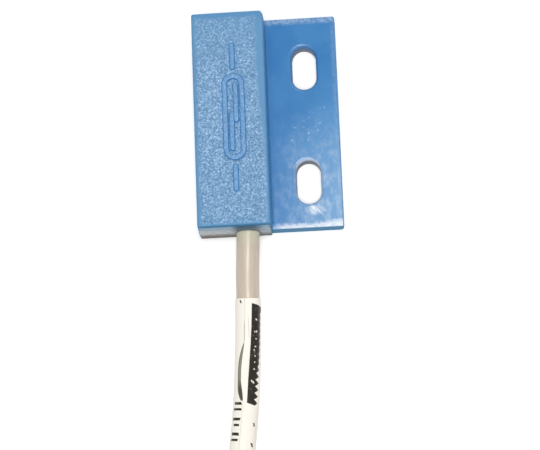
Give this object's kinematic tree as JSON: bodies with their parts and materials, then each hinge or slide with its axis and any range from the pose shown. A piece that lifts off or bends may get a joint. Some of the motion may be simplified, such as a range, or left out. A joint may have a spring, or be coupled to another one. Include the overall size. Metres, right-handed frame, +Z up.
{
  "type": "flange mount reed sensor",
  "caption": "Flat moulded sensor housing with a slotted side flange, a glass reed switch potted inside and a labelled cable with stripped ends.",
  "frame": {"origin": "middle of the mounting face of the housing, measured without the free cable", "axes": "+Z up from the mounting face, +Y along the reed to the closed end, +X to the flange's free edge"},
  "size_m": [0.0234, 0.122, 0.0075],
  "materials": {
    "housing": "moulded blue plastic, spark-textured on top, smooth flange",
    "resin": "cured grey potting resin",
    "reed_glass": "clear greenish glass",
    "reed_metal": "drawn and stamped nickel-iron wire",
    "solder": "satin soft solder",
    "copper": "bare copper strands",
    "tinned_copper": "tinned copper strands",
    "brown_core": "brown core insulation",
    "blue_core": "blue core insulation",
    "cable": "grey-beige extruded jacket",
    "label": "white wrap-round label with dark printed fields",
    "tie": "black plastic-covered wire tie"
  },
  "bodies": {
    "sensor": {"housing": "housing", "potting": "resin", "glass_capsule": "reed_glass", "near_reed_lead": "reed_metal", "far_reed_lead": "reed_metal", "near_solder_joint": "solder", "far_solder_joint": "solder", "brown_core_strands": "copper", "blue_core_strands": "copper", "brown_core_insulation": "brown_core", "blue_core_insulation": "blue_core", "cable_jacket": "cable", "label_sleeve": "label", "cable_hank": "cable", "hank_tie": "tie", "brown_tail_insulation": "brown_core", "blue_tail_insulation": "blue_core", "brown_tail_strands": "tinned_copper", "blue_tail_strands": "tinned_copper"},
    "near_blade": {"near_reed_blade": "reed_metal"},
    "far_blade": {"far_reed_blade": "reed_metal"}
  },
  "joints": [
    {"name": "near_reed_flex", "type": "hinge", "parent": "sensor", "child": "near_blade", "pos_m": [-0.0069, -0.00417, 0.0027], "axis": [1, 0, 0], "range_deg": [0, 0.65], "stiffness_Nm_per_rad": 0.00005},
    {"name": "far_reed_flex", "type": "hinge", "parent": "sensor", "child": "far_blade", "pos_m": [-0.0069, 0.00562, 0.00304], "axis": [1, 0, 0], "range_deg": [0, 0.65], "stiffness_Nm_per_rad": 0.00005}
  ],
  "couplings": [
    {"joint": "far_reed_flex", "follows": "near_reed_flex", "ratio": 1}
  ]
}
